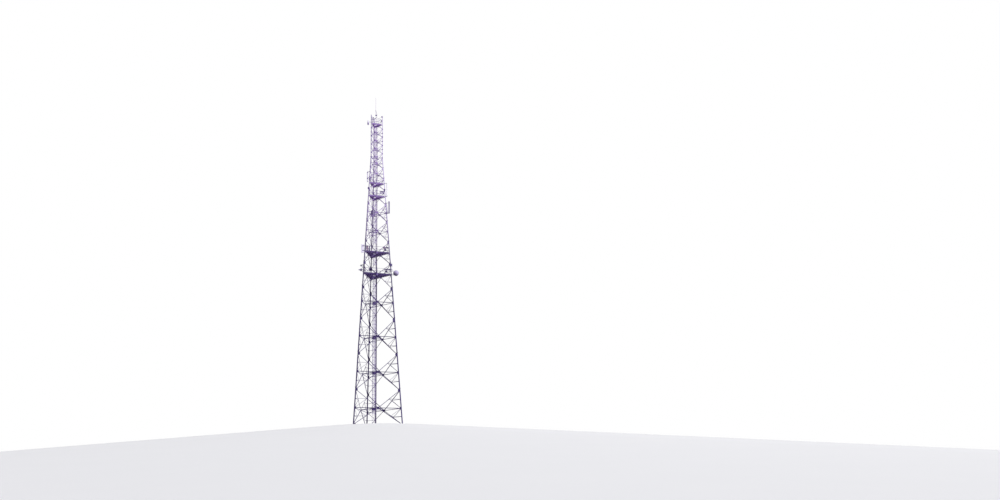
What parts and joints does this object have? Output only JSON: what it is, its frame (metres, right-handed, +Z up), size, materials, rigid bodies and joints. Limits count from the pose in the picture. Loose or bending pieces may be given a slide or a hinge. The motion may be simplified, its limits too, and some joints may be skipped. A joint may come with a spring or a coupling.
{
  "type": "radio mast, lattice tower, 1:2 scale model",
  "caption": "Tapered three-legged lattice radio mast with caged ladder, railed platforms, antennas and a lightning rod, at half size.",
  "frame": {"origin": "underside of the front left leg's base flange, on the leg's axis", "axes": "+Z up along the mast, +X along the front face to the front right leg, +Y towards the rear leg"},
  "size_m": [4.8997, 4.2837, 33.3503],
  "materials": {
    "leg_steel": "weathered satin",
    "brace_steel": "weathered satin",
    "deck_steel": "matt",
    "galvanised": "dull",
    "cable_sheath": "matt",
    "antenna_cover": "weathered matt",
    "cabinet_paint": "weathered satin"
  },
  "bodies": {
    "root": {"leg_front_left": "leg_steel", "leg_front_right": "leg_steel", "leg_rear": "leg_steel", "top_leg_front_left": "leg_steel", "top_leg_front_right": "leg_steel", "top_leg_rear": "leg_steel", "front_bracing_lower": "brace_steel", "right_bracing_lower": "brace_steel", "left_bracing_lower": "brace_steel", "front_bracing_middle": "brace_steel", "right_bracing_middle": "brace_steel", "left_bracing_middle": "brace_steel", "front_bracing_upper": "brace_steel", "right_bracing_upper": "brace_steel", "left_bracing_upper": "brace_steel", "front_bracing_top": "brace_steel", "right_bracing_top": "brace_steel", "left_bracing_top": "brace_steel", "plan_bracing_lower": "brace_steel", "plan_bracing_upper": "brace_steel", "first_platform": "deck_steel", "second_platform": "deck_steel", "third_platform": "deck_steel", "fourth_platform": "deck_steel", "top_platform": "deck_steel", "first_railing": "leg_steel", "second_railing": "leg_steel", "third_railing": "leg_steel", "fourth_railing": "leg_steel", "top_railing": "leg_steel", "ladder_lower": "galvanised", "ladder_middle": "galvanised", "ladder_upper": "galvanised", "ladder_cage": "galvanised", "cable_tray": "galvanised", "feeder_cables": "cable_sheath", "drum_antenna": "antenna_cover", "small_dishes": "antenna_cover", "tube_antenna": "antenna_cover", "left_panel_antenna": "antenna_cover", "upper_left_panel_antenna": "antenna_cover", "side_panel_antenna": "antenna_cover", "high_panel_antenna": "antenna_cover", "rear_panel_antenna": "antenna_cover", "top_drum": "antenna_cover", "drum_mount": "galvanised", "equipment_boxes": "cabinet_paint", "lightning_rod": "galvanised"}
  },
  "joints": []
}
